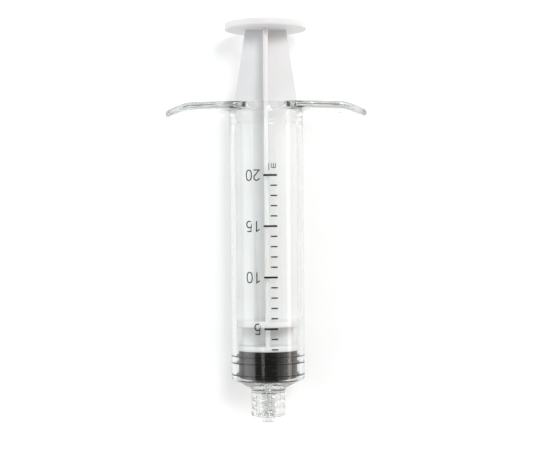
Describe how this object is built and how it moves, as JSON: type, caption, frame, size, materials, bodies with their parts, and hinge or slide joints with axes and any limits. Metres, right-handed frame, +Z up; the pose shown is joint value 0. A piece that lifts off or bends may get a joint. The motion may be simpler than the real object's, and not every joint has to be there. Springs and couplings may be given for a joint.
{
  "type": "luer-lock syringe",
  "caption": "Hand-held luer-lock syringe: clear barrel with winged finger flange, white cross-ribbed plunger, black ringed piston seal and a printed scale.",
  "frame": {"origin": "under the middle of the syringe's box, on the surface that it lies on", "axes": "+Y from the luer tip to the thumb disc along the barrel's axis, +X along the finger flange, +Z up through the printed scale"},
  "size_m": [0.063, 0.1244, 0.0257],
  "materials": {
    "clear_plastic": "clear moulded plastic, polished",
    "white_plastic": "satin moulded",
    "black_rubber": "satin, lightly siliconed",
    "black_ink": "printed ink"
  },
  "bodies": {
    "barrel": {"barrel": "clear_plastic", "line_00ml": "black_ink", "line_01ml": "black_ink", "line_02ml": "black_ink", "line_03ml": "black_ink", "line_04ml": "black_ink", "line_05ml": "black_ink", "line_06ml": "black_ink", "line_07ml": "black_ink", "line_08ml": "black_ink", "line_09ml": "black_ink", "line_10ml": "black_ink", "line_11ml": "black_ink", "line_12ml": "black_ink", "line_13ml": "black_ink", "line_14ml": "black_ink", "line_15ml": "black_ink", "line_16ml": "black_ink", "line_17ml": "black_ink", "line_18ml": "black_ink", "line_19ml": "black_ink", "line_20ml": "black_ink", "numeral_05_digit_1": "black_ink", "numeral_10_digit_1": "black_ink", "numeral_10_digit_2": "black_ink", "numeral_15_digit_1": "black_ink", "numeral_15_digit_2": "black_ink", "numeral_20_digit_1": "black_ink", "numeral_20_digit_2": "black_ink", "unit_letter_l": "black_ink", "unit_letter_m": "black_ink"},
    "piston": {"piston_seal": "black_rubber"},
    "plunger": {"plunger_rod": "white_plastic"}
  },
  "joints": [
    {"name": "plunger_slide", "type": "slide", "parent": "barrel", "child": "piston", "axis": [0, 1, 0], "range_m": [0, 0.07]},
    {"name": "rod_spin", "type": "hinge", "parent": "piston", "child": "plunger", "pos_m": [0, 0, 0.01285], "axis": [0, 1, 0], "continuous": true}
  ]
}
